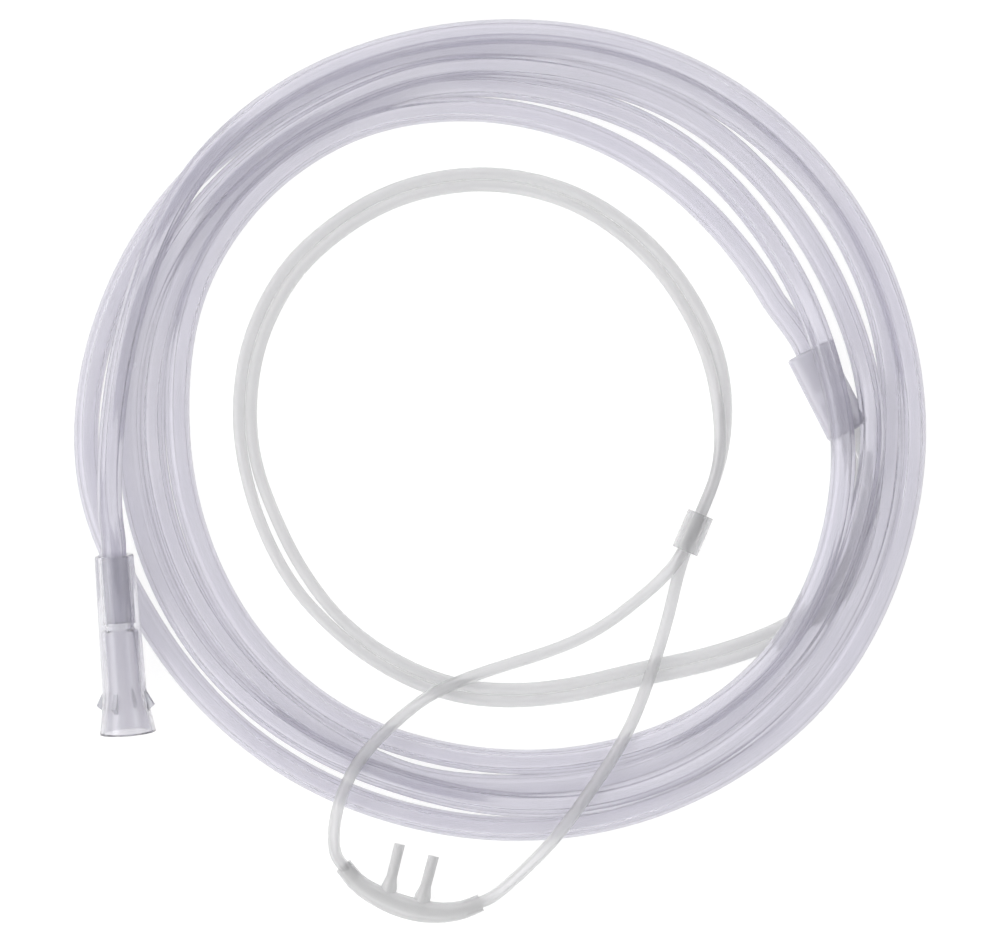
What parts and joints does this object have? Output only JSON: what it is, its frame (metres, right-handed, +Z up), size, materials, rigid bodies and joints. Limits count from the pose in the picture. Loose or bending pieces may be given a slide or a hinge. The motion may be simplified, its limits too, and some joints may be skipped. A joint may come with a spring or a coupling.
{
  "type": "nasal oxygen cannula",
  "caption": "Nasal oxygen cannula lying flat: coiled clear supply tube, funnel connector, Y connector, thin loop tubes with a slider sleeve and a nasal piece with prongs.",
  "frame": {"origin": "on the floor, under the middle of the box round the four moulded fittings", "axes": "+Z up from the floor that the cannula lies on, +Y from the nasal piece towards the far side of the coil, +X from the end connector towards the Y connector"},
  "size_m": [0.1738, 0.1897, 0.0144],
  "materials": {
    "clear_vinyl": "gloss",
    "milky_vinyl": "gloss"
  },
  "bodies": {
    "cannula": {"supply_tube_coil": "clear_vinyl", "supply_tube_inner_turn": "clear_vinyl", "supply_tube_lead_in": "clear_vinyl", "loop_tube_left": "milky_vinyl", "loop_tube_right": "milky_vinyl", "end_connector": "clear_vinyl", "y_connector": "clear_vinyl", "nasal_prong_piece": "milky_vinyl"},
    "slider": {"slider_sleeve": "milky_vinyl"}
  },
  "joints": [
    {"name": "slider_slide", "type": "slide", "parent": "cannula", "child": "slider", "axis": [0.3939, 0.9191, 0], "range_m": [0, 0.006]}
  ]
}
